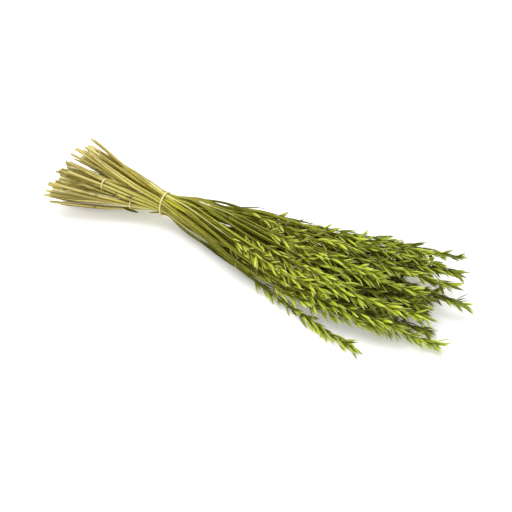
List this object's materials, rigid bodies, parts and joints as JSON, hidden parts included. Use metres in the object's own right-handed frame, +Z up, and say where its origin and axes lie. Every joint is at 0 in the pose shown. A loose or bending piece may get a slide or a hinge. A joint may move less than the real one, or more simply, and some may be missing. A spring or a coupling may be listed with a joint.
{
  "type": "bundle of dried oat stalks",
  "caption": "Dried oat stalks with grain heads and a few leaves, tied at the neck by a thin elastic band, lying on their side.",
  "frame": {"origin": "under the middle of the bundle's box, on the surface that it lies on", "axes": "+X from the cut ends to the grain heads, +Z up"},
  "size_m": [0.7284, 0.2106, 0.082],
  "materials": {
    "stalk": "matte dry straw, tan at the cut ends and yellow-green at the grain heads",
    "leaf": "matte dry leaf",
    "band": "matte pale elastic"
  },
  "bodies": {
    "root": {"stalk_01": "stalk", "stalk_02": "stalk", "stalk_03": "stalk", "stalk_04": "stalk", "stalk_05": "stalk", "stalk_06": "stalk", "stalk_07": "stalk", "stalk_08": "stalk", "stalk_09": "stalk", "stalk_10": "stalk", "stalk_11": "stalk", "stalk_12": "stalk", "stalk_13": "stalk", "stalk_14": "stalk", "stalk_15": "stalk", "stalk_16": "stalk", "stalk_17": "stalk", "stalk_18": "stalk", "stalk_19": "stalk", "stalk_20": "stalk", "stalk_21": "stalk", "stalk_22": "stalk", "stalk_23": "stalk", "stalk_24": "stalk", "stalk_25": "stalk", "stalk_26": "stalk", "stalk_27": "stalk", "stalk_28": "stalk", "stalk_29": "stalk", "stalk_30": "stalk", "stalk_31": "stalk", "stalk_32": "stalk", "stalk_33": "stalk", "stalk_34": "stalk", "stalk_35": "stalk", "stalk_36": "stalk", "stalk_37": "stalk", "stalk_38": "stalk", "stalk_39": "stalk", "stalk_40": "stalk", "stalk_41": "stalk", "stalk_42": "stalk", "stalk_43": "stalk", "stalk_44": "stalk", "stalk_45": "stalk", "stalk_46": "stalk", "stalk_47": "stalk", "stalk_48": "stalk", "stalk_49": "stalk", "stalk_50": "stalk", "leaf_1": "leaf", "leaf_2": "leaf", "leaf_3": "leaf", "leaf_4": "leaf", "leaf_5": "leaf", "leaf_6": "leaf", "neck_band": "band", "inner_band": "band", "outer_band": "band"}
  },
  "joints": []
}
